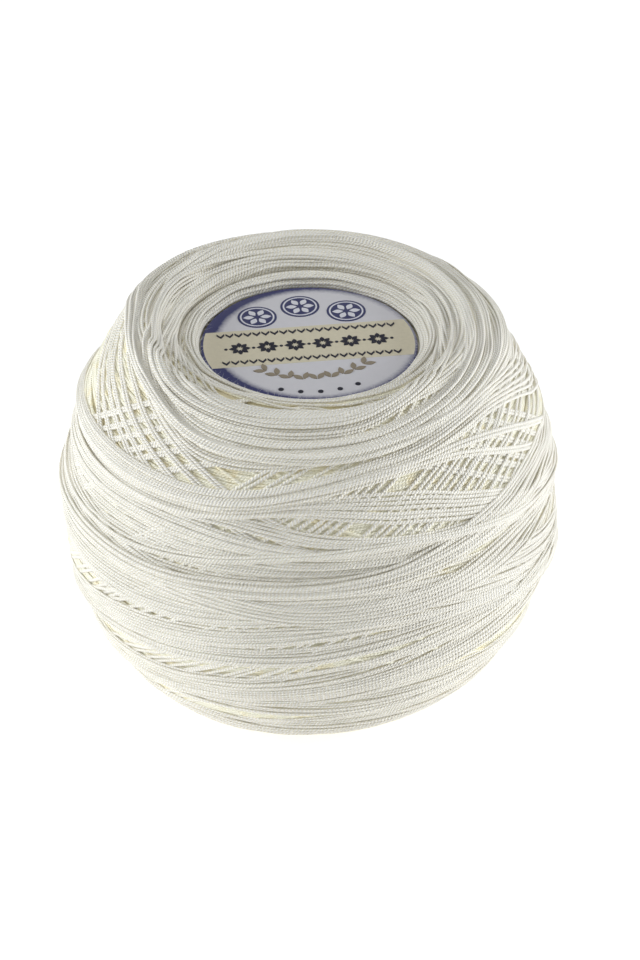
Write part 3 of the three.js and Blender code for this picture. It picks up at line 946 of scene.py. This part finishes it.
@dataclass(frozen=True)
class CottonFinish:
    """Mercerised cotton thread: two plies show as slanting ridges; painted shade makes their creases darker
    and warmer.
    """

    name: str = "mercerised_cotton"
    ridge: Colour = (0.95, 0.94, 0.905, 1.0)
    # Painted shade: the crease colour darkens and warms the creases between the plies, where shade falls.
    crease_shade: Colour = (0.87, 0.825, 0.69, 1.0)
    # Painted shade: strands that lie deep take these warmer colours, the golden one in spots, for the
    # yellowed light deep in the gaps.
    buried: Colour = (0.94, 0.92, 0.765, 1.0)
    golden_shade: Colour = (0.92, 0.83, 0.55, 1.0)
    plies: float = 2.0
    ridge_flat: float = 0.75
    twist_depth: float = 0.00008
    fibres: float = 14.0
    fibre_run: float = 1.6
    fibre_depth: float = 0.35
    # Painted shade: each strand's sides, turned away from its outward face, take the crease colour by up to
    # this share.
    flank_shade: float = 0.62
    flank_from: float = 0.75
    flank_to: float = -0.1
    buried_from: float = 0.2
    # The depths over which the painted deep shade and painted glow come in, and the painted shade's largest
    # share.
    buried_to: float = 0.7
    buried_share: float = 0.85
    spot_scale: float = 420.0
    spot_range: tuple[float, float] = (0.5, 0.68)
    spot_share: float = 0.8
    darkest: float = 0.955
    patch_scale: float = 160.0
    patch_change: float = 0.02
    # Painted glow: the thread gives off a little light everywhere and more where it lies deep, standing in
    # for light scattered inside the cotton.
    glow: float = 0.04
    deep_painted_glow: float = 0.13
    roughness: float = 0.42
    specular: float = 0.42
    sheen: float = 0.12

    def material(self) -> bpy.types.Material:
        """Ridges follow sin(2 pi (turns + plies * round the thread)), on the thread's own twist map."""
        w = Wiring(self.name)
        turns, across, _ = w.split(w.node("ShaderNodeUVMap", {"uv_map": TWIST_MAP}).outputs["UV"])
        winding = w.maths("MULTIPLY_ADD", across, self.plies, turns)
        ridge = w.ramp(w.maths("SINE", w.maths("MULTIPLY", winding, FULL_TURN)), -1.0, self.ridge_flat)
        fibre_place = w.node(
            "ShaderNodeCombineXYZ",
            X=w.maths("MULTIPLY", winding, self.fibres), Y=w.maths("MULTIPLY", turns, self.fibre_run),
        )
        fibre = w.noise(fibre_place.outputs[0], scale=1.0, detail=1.0)
        outward = w.maths("COSINE", w.maths("MULTIPLY", across, FULL_TURN))
        # Painted shade: the crease colour fills the hollows between the plies' ridges.
        colour = w.mix(ridge, self.crease_shade, self.ridge)
        # Painted shade on the strand's flanks.
        colour = w.mix(w.ramp(outward, self.flank_from, self.flank_to, 0.0, self.flank_shade), colour, self.crease_shade)
        place = w.place()
        # Painted shade of deep strands: the deeper a strand lies, the more it takes the buried colour, golden
        # in spots.
        shade_spots = w.ramp(w.noise(place, self.spot_scale), *self.spot_range, 0.0, self.spot_share)
        depth = w.attribute(DEPTH)
        hidden = w.ramp(depth, self.buried_from, self.buried_to, 0.0, self.buried_share)
        colour = w.mix(hidden, colour, w.mix(shade_spots, self.buried, self.golden_shade))
        tone = w.ramp(w.attribute(TONE), 0.0, 1.0, self.darkest, 1.0)
        patch = w.ramp(w.noise(place, self.patch_scale), *NOISE_RANGE, -self.patch_change, self.patch_change)
        colour = w.tinted(colour, w.maths("ADD", tone, patch))
        height = w.maths("ADD", ridge, w.maths("MULTIPLY", fibre, self.fibre_depth))
        # Painted glow, strongest on the deepest strands.
        glow = w.ramp(depth, self.buried_from, self.buried_to, self.glow / self.deep_painted_glow, 1.0)
        return w.finish(
            colour, self.roughness, Normal=w.bump(height, 1.0, self.twist_depth),
            Specular_IOR_Level=self.specular, Sheen_Weight=self.sheen,
            Emission_Color=w.tinted(colour, glow), Emission_Strength=self.deep_painted_glow,
        )


@dataclass(frozen=True)
class CoreFinish:
    """The deepest windings, seen only through gaps: painted shade makes them warm and dark, with darker
    painted shade in the creases between fine level ridges.
    """

    name: str = "buried_windings"
    # Painted shade: both colours are warmer and darker than the thread's own, for the yellowed light deep in
    # the gaps.
    ridge: Colour = (0.94, 0.89, 0.70, 1.0)
    crease_shade: Colour = (0.86, 0.78, 0.54, 1.0)
    ridges: float = 2500.0
    bend: float = 9.0
    bend_scale: float = 90.0
    strength: float = 0.8
    ridge_depth: float = 0.00015
    roughness: float = 0.7

    def material(self) -> bpy.types.Material:
        """Level ridges from the sine of the height, bent by a slow noise."""
        w = Wiring(self.name)
        place = w.place()
        bend = w.maths("MULTIPLY", w.noise(place, self.bend_scale), self.bend)
        phase = w.maths("ADD", w.maths("MULTIPLY", w.split(place)[2], self.ridges * FULL_TURN), bend)
        wave = w.ramp(w.maths("SINE", phase), -1.0, 1.0)
        normal = w.bump(wave, self.strength, self.ridge_depth)
        return w.finish(w.mix(wave, self.crease_shade, self.ridge), self.roughness, Normal=normal)


@dataclass(frozen=True)
class FuzzFinish:
    """Single cotton fibres: pale and matt."""

    name: str = "cotton_fibre"
    colour: Colour = (0.9, 0.89, 0.86, 1.0)
    roughness: float = 0.7

    def material(self) -> bpy.types.Material:
        """The colour varies a little from fibre to fibre."""
        w = Wiring(self.name)
        return w.finish(w.mottled(self.colour, scale=700.0, darkest=0.85), self.roughness)


@dataclass(frozen=True)
class CardFinish:
    """The label's pale card: lilac-white, with a soft deep-blue band printed round its rim; the band widens
    towards one side, partly as printed and partly as painted shade from the funnel wall.
    """

    name: str = "label_card"
    ground: Colour = (0.72, 0.71, 0.745, 1.0)
    rim: Colour = (0.06, 0.065, 0.17, 1.0)
    radius: float = 0.0146
    rim_wide: float = 0.001
    rim_edge: float = 0.0003
    # The rim widens towards thick_side by lean: partly the print's own offset, partly painted shade that the
    # funnel wall casts over the label's edge.
    thick_side: float = 205.0
    lean: float = 0.07
    ragged: float = 0.0005
    ragged_scale: float = 2600.0
    softness: float = 1.5
    roughness: float = 0.38

    def material(self) -> bpy.types.Material:
        """The rim's share grows with the distance from the centre, more so towards one side, where it also
        paints the funnel wall's shade.
        """
        w = Wiring(self.name)
        place = w.place()
        x, y, _ = w.split(place)
        away = w.maths("SQRT", w.maths("ADD", w.maths("MULTIPLY", x, x), w.maths("MULTIPLY", y, y)))
        side = math.radians(self.thick_side)
        lean_x = w.maths("MULTIPLY", x, math.cos(side))
        lean_y = w.maths("MULTIPLY", y, math.sin(side))
        reach = w.maths("ADD", away, w.maths("MULTIPLY", w.maths("ADD", lean_x, lean_y), self.lean))
        grain = w.maths("MULTIPLY", w.noise(place, self.ragged_scale, detail=1.0), self.ragged)
        share = w.ramp(w.maths("ADD", reach, grain), self.radius - self.rim_wide, self.radius + self.rim_edge)
        colour = w.mix(w.maths("POWER", share, self.softness), self.ground, self.rim)
        colour = w.mottled(colour, scale=900.0, darkest=0.97, detail=3.0)
        return w.finish(colour, self.roughness, Normal=w.card_grain())


@dataclass(frozen=True)
class InkFinish:
    """One flat printing ink on the card, a little uneven as print is."""

    name: str
    colour: Colour
    roughness: float = 0.4

    def material(self) -> bpy.types.Material:
        """The ink's colour, mottled by a fine noise."""
        w = Wiring(self.name)
        colour = w.mottled(self.colour, scale=1800.0, darkest=0.94, detail=3.0)
        return w.finish(colour, self.roughness, Normal=w.card_grain())


@dataclass(frozen=True)
class FloorFinish:
    """The pale studio table, lit a little from below."""

    name: str = "pale_table"
    colour: Colour = (0.84, 0.84, 0.84, 1.0)
    glow_colour: Colour = (1.0, 0.99, 0.96, 1.0)
    glow: float = 0.49
    roughness: float = 0.9

    def material(self) -> bpy.types.Material:
        """A matt pale surface with the faintest mottling."""
        w = Wiring(self.name)
        colour = w.mottled(self.colour, scale=30.0, darkest=0.995)
        return w.finish(colour, self.roughness, Emission_Color=self.glow_colour, Emission_Strength=self.glow)


@dataclass
class LooseEnd:
    """The thread's free end: it lies along the ball behind the left side, then its tip stands off."""

    form: BallForm
    thread: float = 0.4
    sides: int = 8
    per_gap: int = 6
    taper_from: float = 0.86
    tip_share: float = 0.25
    twist_length: float = 0.57
    # Each row is the direction, the distance down and the height above the solid, as in the part's source.
    route: tuple[tuple[float, float, float], ...] = (
        (-147, 23.6, 0.55), (-144, 23.8, 0.55), (-141, 24.0, 0.55), (-138, 24.3, 0.55), (-135, 24.6, 0.55),
        (-132, 24.9, 0.55), (-129, 25.2, 0.55), (-126, 25.5, 0.55), (-123, 25.8, 0.55), (-120, 26.1, 0.55),
        (-117, 26.4, 0.55), (-114, 26.7, 0.55), (-111, 27.1, 0.55), (-108, 27.5, 0.55), (-105, 28.0, 0.55),
        (-102.4, 28.5, 0.56), (-100.2, 29.1, 0.6), (-98.4, 29.8, 0.68), (-97.0, 30.6, 0.76),
        (-95.8, 31.4, 0.8), (-94.8, 32.2, 0.78), (-94.0, 33.0, 0.72), (-93.4, 33.8, 0.66),
    )

    def path(self) -> Array:
        """The route's smooth line: Catmull-Rom pieces through its points, in millimetres."""
        rows = np.array(self.route)
        points = self.form.on_solid(rows[:, 0], rows[:, 1], rows[:, 2])
        ends = np.concatenate([2 * points[:1] - points[1:2], points, 2 * points[-1:] - points[-2:-1]])
        t = (np.arange(self.per_gap) / self.per_gap)[None, :, None]
        a, b, c, d = (ends[i : len(points) - 1 + i, None, :] for i in range(4))
        line = b + 0.5 * t * (c - a + t * (2 * a - 5 * b + 4 * c - d + t * (3 * (b - c) + d - a)))
        return np.concatenate([line.reshape(-1, 3), points[-1:]])

    def build(self) -> bpy.types.Object:
        """A round profile carried along the path, thinning to the tip, closed at both ends."""
        line = self.path()
        along = unit(np.gradient(line, axis=0))
        side = unit(np.cross(along, UPWARD))
        share = np.linspace(0.0, 1.0, len(line))
        half = self.thread / 2.0 * (1.0 - (1.0 - self.tip_share) * smoothstep(share, self.taper_from, 1.0))
        profile = round_profile(np.cross(side, along), side, self.sides)
        ring = line[:, None, :] + half[:, None, None] * profile
        index = np.arange(len(line) * self.sides).reshape(-1, self.sides)
        blocks = [
            tube_faces(index),
            fan(index.size, np.roll(index[0], -1), index[0]),
            fan(index.size + 1, index[-1], np.roll(index[-1], -1)),
        ]
        length = np.linalg.norm(np.diff(line, axis=0), axis=1)
        turns = np.concatenate([[0.0], np.cumsum(length)])[:, None] / self.twist_length
        edge = np.arange(self.sides + 1) / self.sides
        twist = corner_map(turns[:-1], turns[1:], edge[:-1], edge[1:]).reshape(-1, 2)
        ends = np.zeros((blocks[1].size + blocks[2].size, 2))
        vertices = np.concatenate([ring.reshape(-1, 3), line[:1], line[-1:]])
        values = {TONE: np.ones(len(vertices)), DEPTH: np.zeros(len(vertices))}
        return mesh_object("loose_end", vertices, blocks, {TWIST_MAP: np.concatenate([twist, ends])}, values)

    def declare(self, item: bpy.types.Object) -> None:
        """Attaches the loose end to the ball's body and hides the part's own loose end."""
        line = self.path() * METRES
        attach(item, BODY)
        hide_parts(END_NODE)


@dataclass
class Fuzz:
    """Fine loose fibres that stand from the innermost threads over the label's edge."""

    form: BallForm
    count: int = 520
    thick: float = 0.055
    thinning: float = 0.85
    from_seat: tuple[float, float] = (0.9, 2.2)
    height: float = 0.75
    spread: float = 45.0
    rise: tuple[float, float] = (0.1, 0.9)
    curl: float = 0.45
    length: tuple[float, float] = (0.5, 1.5)
    steps: int = 4
    sides: int = 3
    seed: int = 5

    def build(self) -> bpy.types.Object:
        """Thin three-sided spikes: each starts in a thread, leans inward and curls a little."""
        rng = np.random.default_rng(self.seed)
        around = rng.uniform(-180.0, 180.0, self.count)
        down = self.form.down[0] + rng.uniform(*self.from_seat, self.count)
        root = self.form.place(around, down, self.height)
        angle = np.radians(around + rng.normal(0.0, self.spread, self.count))
        way = unit(np.stack([-np.sin(angle), np.cos(angle), rng.uniform(*self.rise, self.count)], axis=1))
        bend = rng.normal(0.0, self.curl, (self.count, 3))
        length = rng.uniform(*self.length, self.count)[:, None, None]
        share = np.linspace(0.0, 1.0, self.steps)[None, :, None]
        line = root[:, None, :] + length * (share * way[:, None, :] + 0.5 * share**2 * bend[:, None, :])
        side = unit(np.cross(way, UPWARD))
        half = self.thick / 2.0 * (1.0 - self.thinning * share[..., None])
        ring = line[:, :, None, :] + half * round_profile(np.cross(side, way), side, self.sides)[:, None]
        index = np.arange(self.count * self.steps * self.sides).reshape(self.count, self.steps, self.sides)
        blocks = [tube_faces(index), index[:, 0, ::-1], index[:, -1]]
        return mesh_object("edge_fuzz", ring.reshape(-1, 3), blocks, smooth=False)


@dataclass
class Core:
    """The closed body under the windings. It closes every gap between strands and carries the label."""

    form: BallForm
    winding: Winding
    columns: int = 180
    rows: int = 130
    sink: float = 0.1
    seat_margin: float = 0.05
    foot_margin: float = 0.4
    lowest: float = 0.05
    seat_drop: float = 0.2

    def build(self) -> bpy.types.Object:
        """A grid of rings at the windings' lowest level, closed by a point at the top and at the bottom."""
        around = np.linspace(-180.0, 180.0, self.columns, endpoint=False)
        first, last = self.form.down[0] + self.seat_margin, self.form.down[-1] - self.foot_margin
        down = np.linspace(first, last, self.rows)
        grid_around, grid_down = np.meshgrid(around, down)
        lift = self.winding.core_lift(grid_around, grid_down) - self.sink
        rings = self.form.place(grid_around, grid_down, lift)
        rings[..., 2] = np.maximum(rings[..., 2], self.lowest)
        top = (0.0, 0.0, self.form.seat_z - self.seat_drop)
        bottom = (0.0, 0.0, float(rings[-1, :, 2].mean()))
        index = np.arange(self.rows * self.columns).reshape(self.rows, self.columns)
        upper, lower = index[:-1], index[1:]
        quads = np.stack([upper, lower, np.roll(lower, -1, axis=1), np.roll(upper, -1, axis=1)], axis=-1)
        blocks = [
            quads.reshape(-1, 4),
            fan(index.size, index[0], np.roll(index[0], -1)),
            fan(index.size + 1, np.roll(index[-1], -1), index[-1]),
        ]
        return mesh_object("winding_core", np.concatenate([rings.reshape(-1, 3), [top, bottom]]), blocks)


class Ink(Enum):
    """The label's printing inks, from the lowest to the topmost."""

    CREAM = InkFinish("ink_cream", (0.75, 0.69, 0.53, 1.0))
    NAVY = InkFinish("ink_navy", (0.06, 0.065, 0.16, 1.0))
    WHITE = InkFinish("ink_white", (0.80, 0.80, 0.86, 1.0))
    CHARCOAL = InkFinish("ink_charcoal", (0.035, 0.035, 0.05, 1.0))
    TAN = InkFinish("ink_tan", (0.33, 0.28, 0.21, 1.0))


def spaced(count: int, pitch: float) -> list[float]:
    """Evenly spaced places about zero."""
    return [pitch * (step - (count - 1) / 2.0) for step in range(count)]


def lower_arc(count: int, pitch: float, radius: float) -> list[tuple[float, float, float]]:
    """Places on an arc about the label's lower side, so many degrees apart: x, y and the angle."""
    angles = [step - 90.0 for step in spaced(count, pitch)]
    return [(radius * math.cos(math.radians(a)), radius * math.sin(math.radians(a)), a) for a in angles]


def circle(x: float, y: float, wide: float, corners: int) -> Array:
    """A circle's corners about a point."""
    t = np.arange(corners) * FULL_TURN / corners
    return np.stack([x + wide / 2.0 * np.cos(t), y + wide / 2.0 * np.sin(t)], axis=1)


def spin(degrees: float) -> Array:
    """The matrix that turns rows of x and y anticlockwise."""
    turn = math.radians(degrees)
    return np.array([[math.cos(turn), math.sin(turn)], [-math.sin(turn), math.cos(turn)]])


@dataclass
class LabelPrint:
    """The label's generic print: small medallions, a band of stitches and flowers, leaves and dots."""

    label_top: float = 55.6
    ink_thick: float = 0.02
    tilt: float = 7.5
    band_low: float = -4.6
    band_high: float = 4.9
    band_side: float = 15.2
    medallions: tuple[tuple[float, float], ...] = ((-6.5, 8.2), (0.0, 10.3), (6.5, 8.2))
    medallion_wide: float = 5.7
    stitch_rows: tuple[float, ...] = (-4.1, 3.1)
    stitches: int = 20
    stitch_pitch: float = 1.3
    flowers: int = 6
    flower_pitch: float = 4.0
    flower_row: float = 0.1
    leaves: int = 9
    leaf_pitch: float = 12.0
    leaf_radius: float = 9.3
    dots: int = 5
    dot_pitch: float = 13.0
    dot_radius: float = 12.5
    edge_points: int = 9
    shapes: dict[Ink, list[Array]] = field(init=False)

    def __post_init__(self) -> None:
        """Starts with no shapes."""
        self.shapes = {ink: [] for ink in Ink}

    def add(self, ink: Ink, outline: Array) -> None:
        """Adds a flat shape, its corners in millimetres and anticlockwise, to an ink."""
        self.shapes[ink].append(outline)

    def petal(self, ink: Ink, x: float, y: float, angle: float, near: float, far: float, wide: float) -> None:
        """A leaf from one distance to another along an angle: its half width follows the sine."""
        t = np.linspace(0.0, math.pi, self.edge_points)
        along = near + (far - near) * t / math.pi
        half = wide / 2.0 * np.sin(t)
        out = np.stack([along, -half], axis=1)
        back = np.stack([along, half], axis=1)[::-1][1:-1]
        self.add(ink, np.concatenate([out, back]) @ spin(angle) + (x, y))

    def chevron(self, ink: Ink, x: float, y: float, wide: float, high: float, stroke: float) -> None:
        """A V of an even stroke, like one chain stitch."""
        half = wide / 2.0
        self.add(ink, np.array([
            (x, y), (x + half, y + high - stroke), (x + half, y + high), (x, y + stroke),
            (x - half, y + high), (x - half, y + high - stroke),
        ]))

    def blossom(self, ink: Ink, x: float, y: float, petals: int, reach: float) -> None:
        """A small flower of like petals around a point."""
        for turn in range(petals):
            angle = 360.0 / petals * turn
            self.petal(ink, x, y, angle, near=0.22 * reach, far=reach, wide=0.46 * reach)

    def band(self) -> None:
        """The cream band across the label, its ends on the label's own circle."""
        edge = np.linspace(self.band_low, self.band_high, self.edge_points)
        half = np.sqrt(self.band_side**2 - edge**2)
        right = np.stack([half, edge], axis=1)
        left = np.stack([-half, edge], axis=1)[::-1]
        self.add(Ink.CREAM, np.concatenate([right, left]))

    def medallion(self, x: float, y: float, wide: float, stroke: float = 0.24, corners: int = 36) -> None:
        """A navy disc with a fine white ring, in short bars, and a white flower in it."""
        self.add(Ink.NAVY, circle(x, y, wide, corners))
        outer = circle(x, y, 0.88 * wide, corners)
        inner = circle(x, y, 0.88 * wide - 2.0 * stroke, corners)
        for i in range(corners):
            self.add(Ink.WHITE, np.array([inner[i - 1], outer[i - 1], outer[i], inner[i]]))
        self.blossom(Ink.WHITE, x, y, petals=6, reach=0.36 * wide)

    def compose(self) -> None:
        """Lays out the whole print: medallions, a band of stitches and flowers, then leaves and dots."""
        self.band()
        for x, y in self.medallions:
            self.medallion(x, y, self.medallion_wide)
        for y in self.stitch_rows:
            for x in spaced(self.stitches, self.stitch_pitch):
                self.chevron(Ink.CHARCOAL, x, y, wide=1.1, high=1.15, stroke=0.46)
        for x in spaced(self.flowers, self.flower_pitch):
            self.blossom(Ink.CHARCOAL, x, self.flower_row, petals=8, reach=1.55)
        for x in spaced(self.flowers + 1, self.flower_pitch):
            self.add(Ink.CHARCOAL, circle(x, self.flower_row, wide=0.5, corners=10))
        for x, y, angle in lower_arc(self.leaves, self.leaf_pitch, self.leaf_radius):
            for lean in (-35.0, 35.0):
                self.petal(Ink.TAN, x, y, lean - angle, near=0.1, far=1.9, wide=0.85)
        for x, y, _ in lower_arc(self.dots, self.dot_pitch, self.dot_radius):
            self.add(Ink.CHARCOAL, circle(x, y, wide=0.8, corners=12))

    def build(self, ink: Ink) -> bpy.types.Object:
        """One ink's shapes as thin closed plates, turned with the print, each ink a little above the last."""
        levels = (self.label_top, self.label_top + self.ink_thick * (1 + list(Ink).index(ink)))
        points: list[Array] = []
        blocks: list[Array] = []
        first = 0
        for outline in self.shapes[ink]:
            flat = outline @ spin(self.tilt)
            points += [np.column_stack([flat, np.full(len(flat), level)]) for level in levels]
            low = first + np.arange(len(flat))
            high = low + len(flat)
            sides = np.stack([low, np.roll(low, -1), np.roll(high, -1), high], axis=-1)
            blocks += [high[None, :], low[None, ::-1], sides]
            first += 2 * len(flat)
        return mesh_object("print_" + ink.name.lower(), np.concatenate(points), blocks, smooth=False)


def aim(item: bpy.types.Object, target: Vector) -> None:
    """Turns a camera or a light towards a point."""
    item.rotation_euler = (target - item.location).to_track_quat("-Z", "Y").to_euler()


@dataclass(frozen=True)
class Softbox:
    """A rectangular soft light, a little cool, that faces the ball. Lengths are in metres."""

    name: str
    place: tuple[float, float, float]
    size: tuple[float, float]
    watts: float
    colour: tuple[float, float, float] = (0.965, 0.985, 1.0)
    target: tuple[float, float, float] = (0.0, 0.0, 0.03)

    def hang(self) -> None:
        """Adds the light to the scene."""
        data = bpy.data.lights.new(self.name, "AREA")
        data.color = self.colour
        data.shape = "RECTANGLE"
        data.size, data.size_y = self.size
        data.energy = self.watts
        item = link(self.name, data)
        item.location = self.place
        aim(item, Vector(self.target))


SOFTBOXES = (
    Softbox("left_softbox", (-0.62, -0.04, 0.20), (0.6, 0.4), 3.8),
    Softbox("right_softbox", (0.62, -0.04, 0.20), (0.5, 0.4), 3.6),
    Softbox("top_softbox", (-0.05, 0.04, 0.80), (0.6, 0.5), 2.3),
)


@dataclass(frozen=True)
class Studio:
    """The table, the soft lights and the camera at the photograph's angle. Lengths are in metres."""

    distance: float = 0.63
    elevation: float = 34.5
    lens: float = 160.95
    sensor: float = 36.0
    nearest: float = 0.01
    equator_z: float = 0.0295
    aim_right: float = 0.00156
    aim_up: float = 0.00211
    surround: Colour = (1.0, 0.985, 0.95, 1.0)
    surround_strength: float = 0.03
    table_half: float = 3.0

    def camera(self) -> None:
        """Sets the camera; the ball's middle lies a little left of and below the picture's centre."""
        rise = math.radians(self.elevation)
        back = Vector((0.0, -math.cos(rise), math.sin(rise)))
        up = Vector((0.0, math.sin(rise), math.cos(rise)))
        middle = Vector((0.0, 0.0, self.equator_z))
        data = bpy.data.cameras.new("camera")
        data.lens = self.lens
        data.sensor_width = self.sensor
        data.clip_start = self.nearest
        item = link("camera", data)
        item.location = middle + back * self.distance
        aim(item, middle + Vector((self.aim_right, 0.0, 0.0)) + up * self.aim_up)
        bpy.context.scene.camera = item

    def lights(self) -> None:
        """Two large side lights, a broad top light and a faint warm surround."""
        for softbox in SOFTBOXES:
            softbox.hang()
        world = bpy.data.worlds.new("pale_surround")
        world.use_nodes = True
        background = world.node_tree.nodes["Background"]
        background.inputs["Color"].default_value = self.surround
        background.inputs["Strength"].default_value = self.surround_strength
        bpy.context.scene.world = world
        bpy.context.scene.view_settings.view_transform = "Standard"

    def table(self) -> None:
        """A broad level table under the ball."""
        half = self.table_half / METRES
        corners = np.array([(-half, -half, 0.0), (half, -half, 0.0), (half, half, 0.0), (-half, half, 0.0)])
        item = mesh_object("table", corners, [np.array([[0, 1, 2, 3]])], smooth=False)
        item.data.materials.append(FloorFinish().material())


def dress(item: bpy.types.Object, material: bpy.types.Material, node: str | None = None) -> None:
    """Gives a piece its material, its body and the node it stands for.

    Args:
        item: The piece.
        material: Its only material.
        node: The CAD node that it replaces, if any.
    """
    item.data.materials.append(material)
    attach(item, BODY)
    if node:
        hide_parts(node)
    LOG.info("%s: %d faces", item.name, len(item.data.polygons))


def main() -> None:
    """Builds the camera, the loose end, the windings, the label and the studio, in that order."""
    logging.basicConfig(level=logging.INFO, format="%(message)s")
    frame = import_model()
    studio = Studio()
    studio.camera()
    form = BallForm()
    cotton = CottonFinish().material()
    end = LooseEnd(form)
    tail = end.build()
    tail.data.materials.append(cotton)
    end.declare(tail)
    winding = Winding(form)
    winding.lay_all(BANDS)
    mesher = StrandMesher(form, winding)
    for layer in Layer:
        dress(mesher.build(layer), cotton, BALL_NODE)
    dress(Core(form, winding).build(), CoreFinish().material(), BALL_NODE)
    dress(Fuzz(form).build(), FuzzFinish().material(), BALL_NODE)
    card = frame["nodes"][LABEL_NODE]
    card.data.materials.clear()
    card.data.materials.append(CardFinish().material())
    label = LabelPrint()
    label.compose()
    for ink in Ink:
        dress(label.build(ink), ink.value.material())
    studio.lights()
    studio.table()


if __name__ == "__main__":
    main()
